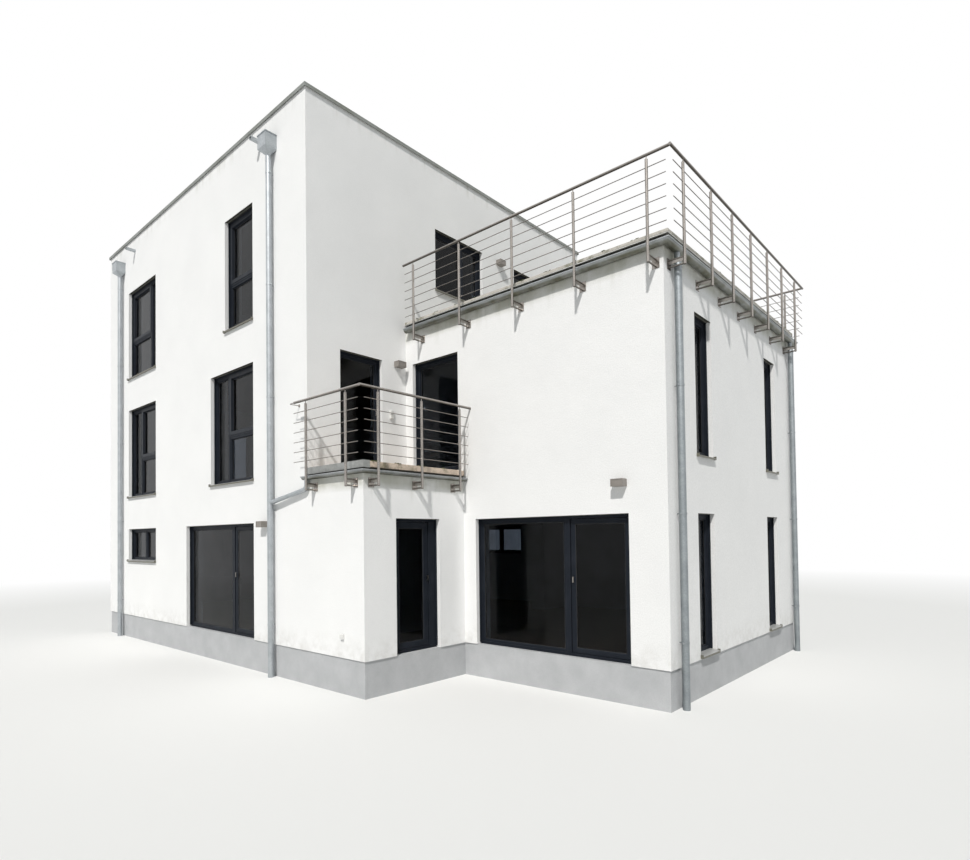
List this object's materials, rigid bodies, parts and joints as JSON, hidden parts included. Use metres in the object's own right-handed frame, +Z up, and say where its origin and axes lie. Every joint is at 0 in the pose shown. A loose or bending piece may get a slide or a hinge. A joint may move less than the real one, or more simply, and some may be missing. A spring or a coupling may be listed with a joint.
{
  "type": "townhouse",
  "caption": "White rendered townhouse: three-storey flat-roofed tower, lower wing with a railed roof terrace, an annex with a balcony, and three hinged glazed doors.",
  "frame": {"origin": "bottom centre of the outline, on the ground the walls stand on", "axes": "+X along the sunny front towards the wing, +Y back from the front, +Z up"},
  "size_m": [15.008, 8.624, 10.066],
  "materials": {
    "white_render": "rough render",
    "grey_base": "rough render",
    "concrete": "plain concrete",
    "paving": "textured",
    "coping_metal": "satin",
    "anthracite": "satin",
    "glass": "clear",
    "sill_metal": "satin",
    "zinc": "weathered",
    "stainless": "brushed",
    "lamp_metal": "satin"
  },
  "bodies": {
    "house": {"annex_door_frame": "anthracite", "annex_east_wall": "white_render", "annex_wall_top": "white_render", "balcony_deck": "paving", "balcony_gutter": "zinc", "balcony_railing_east": "stainless", "balcony_railing_south": "stainless", "balcony_slab": "concrete", "balcony_upstand": "zinc", "first_floor": "concrete", "ground_floor": "concrete", "overflow_spouts": "zinc", "plinth": "grey_base", "rain_hoppers": "zinc", "roof_coping": "coping_metal", "second_floor": "concrete", "terrace_deck": "paving", "terrace_gutter": "zinc", "terrace_railing_east": "stainless", "terrace_railing_north": "stainless", "terrace_railing_south": "stainless", "terrace_slab": "concrete", "tower_downpipes": "zinc", "tower_east_frames": "anthracite", "tower_east_wall": "white_render", "tower_north_frames": "anthracite", "tower_north_wall": "white_render", "tower_patio_frame": "anthracite", "tower_patio_glass": "glass", "tower_roof": "concrete", "tower_south_frames": "anthracite", "tower_south_wall_ground": "white_render", "tower_south_wall_upper": "white_render", "tower_west_frames": "anthracite", "tower_west_wall": "white_render", "wall_lamps": "lamp_metal", "window_glass": "glass", "window_sills": "sill_metal", "wing_downpipes": "zinc", "wing_east_frames": "anthracite", "wing_east_wall": "white_render", "wing_north_frames": "anthracite", "wing_north_wall": "white_render", "wing_patio_frame": "anthracite", "wing_patio_glass": "glass", "wing_south_frame": "anthracite", "wing_south_wall_ground": "white_render", "wing_south_wall_upper": "white_render"},
    "tower_patio_leaf": {"tower_patio_leaf": "anthracite", "tower_patio_leaf_glass": "glass", "tower_patio_handle": "stainless"},
    "wing_patio_leaf": {"wing_patio_leaf": "anthracite", "wing_patio_leaf_glass": "glass", "wing_patio_handle": "stainless"},
    "annex_door_leaf": {"annex_door_leaf": "anthracite", "annex_door_leaf_glass": "glass", "annex_door_handle": "stainless"}
  },
  "joints": [
    {"name": "tower_patio_hinge", "type": "hinge", "parent": "house", "child": "tower_patio_leaf", "pos_m": [0.132, -3.897, 1.6], "axis": [0, 0, -1], "range_deg": [0, 90]},
    {"name": "wing_patio_hinge", "type": "hinge", "parent": "house", "child": "wing_patio_leaf", "pos_m": [6.609, -1.717, 1.6], "axis": [0, 0, -1], "range_deg": [0, 90]},
    {"name": "annex_door_hinge", "type": "hinge", "parent": "house", "child": "annex_door_leaf", "pos_m": [3.275, -3.406, 1.6], "axis": [0, 0, 1], "range_deg": [0, 90]}
  ]
}
